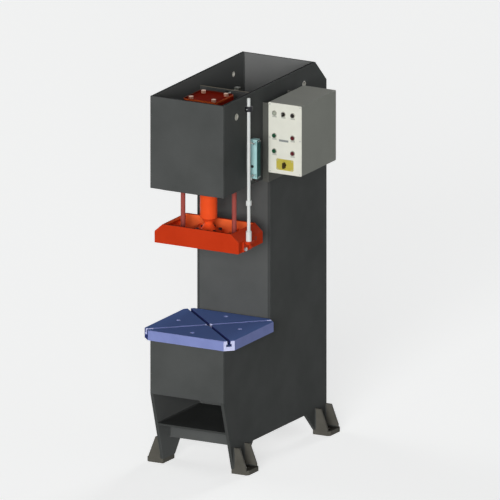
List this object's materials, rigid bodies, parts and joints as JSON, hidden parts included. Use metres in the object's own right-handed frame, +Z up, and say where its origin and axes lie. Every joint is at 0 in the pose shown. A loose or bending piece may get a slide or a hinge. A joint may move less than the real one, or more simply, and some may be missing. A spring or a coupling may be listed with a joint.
{
  "type": "hydraulic press",
  "caption": "C-frame hydraulic press with a guided platen, slotted table, stroke stop rod, side control box and tapered welded feet.",
  "frame": {"origin": "bottom centre of the whole press's bounding box, on the floor", "axes": "+Z up, -Y out of the front where the operator stands, +X towards the control box"},
  "size_m": [0.761, 1.157, 2.044],
  "materials": {
    "frame_paint": "satin charcoal paint",
    "red_paint": "satin red paint",
    "box_paint": "fine textured grey powder coat",
    "panel": "off-white enamel",
    "table_steel": "blue-violet lacquer on ground steel",
    "ram_red": "satin red-orange paint",
    "zinc": "zinc plated",
    "white_rod": "white enamel",
    "black_steel": "blackened",
    "switch_shell": "teal hammered paint",
    "lamp": "translucent lens",
    "black_plastic": "moulded",
    "green_plastic": "moulded",
    "red_plastic": "moulded",
    "yellow_plastic": "moulded",
    "bronze": "turned",
    "tank_paint": "grey paint",
    "motor_paint": "painted"
  },
  "bodies": {
    "frame": {"left_side_plate": "frame_paint", "right_side_plate": "frame_paint", "head_front_plate": "frame_paint", "body_front_plate": "frame_paint", "head_base_plate": "frame_paint", "cylinder_mount_plate": "frame_paint", "column_front_plate": "frame_paint", "head_back_plate": "frame_paint", "rear_plate": "frame_paint", "rear_access_cover": "frame_paint", "body_top_plate": "frame_paint", "floor_plate": "frame_paint", "front_cross_plate": "frame_paint", "foot_front_left": "frame_paint", "foot_front_right": "frame_paint", "foot_rear_left": "frame_paint", "foot_rear_right": "frame_paint", "table": "table_steel", "table_screws": "zinc", "cylinder_body": "red_paint", "head_block_bolts": "zinc", "rod_and_guide_bushes": "bronze", "switch_housing": "switch_shell", "switch_bracket": "frame_paint", "control_box": "box_paint", "control_bracket": "box_paint", "control_panel": "panel", "power_lamp": "lamp", "main_switch_plate": "yellow_plastic", "oil_tank": "tank_paint", "pump_motor": "motor_paint", "valve_block": "zinc", "press_pipe": "zinc", "return_pipe": "zinc"},
    "ram": {"piston_rod": "ram_red", "ram_flange_screws": "black_steel", "platen": "ram_red", "guide_rod_left": "ram_red", "guide_rod_right": "ram_red", "stop_rod_bracket": "ram_red", "stop_rod": "white_rod", "stroke_rod_fittings": "black_steel"},
    "upper_lever": {"upper_switch_lever": "zinc"},
    "lower_lever": {"lower_switch_lever": "zinc"},
    "mode_knob": {"mode_selector": "black_plastic"},
    "jog": {"jog_button": "black_plastic"},
    "green_upper": {"upper_green_button": "green_plastic"},
    "green_lower": {"lower_green_button": "green_plastic"},
    "red_upper": {"upper_red_button": "red_plastic"},
    "red_lower": {"lower_red_button": "red_plastic"},
    "main_handle": {"main_switch_handle": "black_plastic"}
  },
  "joints": [
    {"name": "ram_slide", "type": "slide", "parent": "frame", "child": "ram", "axis": [0, 0, -1], "range_m": [-0.105, 0.168]},
    {"name": "upper_lever_turn", "type": "hinge", "parent": "frame", "child": "upper_lever", "pos_m": [0.1955, -0.3285, 1.783], "axis": [1, 0, 0], "range_deg": [0, 20], "stiffness_Nm_per_rad": 0.35, "springref_deg": -5.73},
    {"name": "lower_lever_turn", "type": "hinge", "parent": "frame", "child": "lower_lever", "pos_m": [0.1955, -0.3285, 1.61], "axis": [1, 0, 0], "range_deg": [-20, 0], "stiffness_Nm_per_rad": 0.35, "springref_deg": 5.73},
    {"name": "mode_selector_turn", "type": "hinge", "parent": "frame", "child": "mode_knob", "pos_m": [0.2715, -0.1375, 1.908], "axis": [0, 1, 0], "range_deg": [-45, 45]},
    {"name": "jog_press", "type": "slide", "parent": "frame", "child": "jog", "axis": [0, 1, 0], "range_m": [0, 0.004], "stiffness_N_per_m": 400, "springref_m": -0.002},
    {"name": "green_upper_press", "type": "slide", "parent": "frame", "child": "green_upper", "axis": [0, 1, 0], "range_m": [0, 0.004], "stiffness_N_per_m": 400, "springref_m": -0.002},
    {"name": "green_lower_press", "type": "slide", "parent": "frame", "child": "green_lower", "axis": [0, 1, 0], "range_m": [0, 0.004], "stiffness_N_per_m": 400, "springref_m": -0.002},
    {"name": "red_upper_press", "type": "slide", "parent": "frame", "child": "red_upper", "axis": [0, 1, 0], "range_m": [0, 0.004], "stiffness_N_per_m": 400, "springref_m": -0.002},
    {"name": "red_lower_press", "type": "slide", "parent": "frame", "child": "red_lower", "axis": [0, 1, 0], "range_m": [0, 0.004], "stiffness_N_per_m": 400, "springref_m": -0.002},
    {"name": "main_switch_turn", "type": "hinge", "parent": "frame", "child": "main_handle", "pos_m": [0.281, -0.1375, 1.632], "axis": [0, 1, 0], "range_deg": [0, 90]}
  ]
}
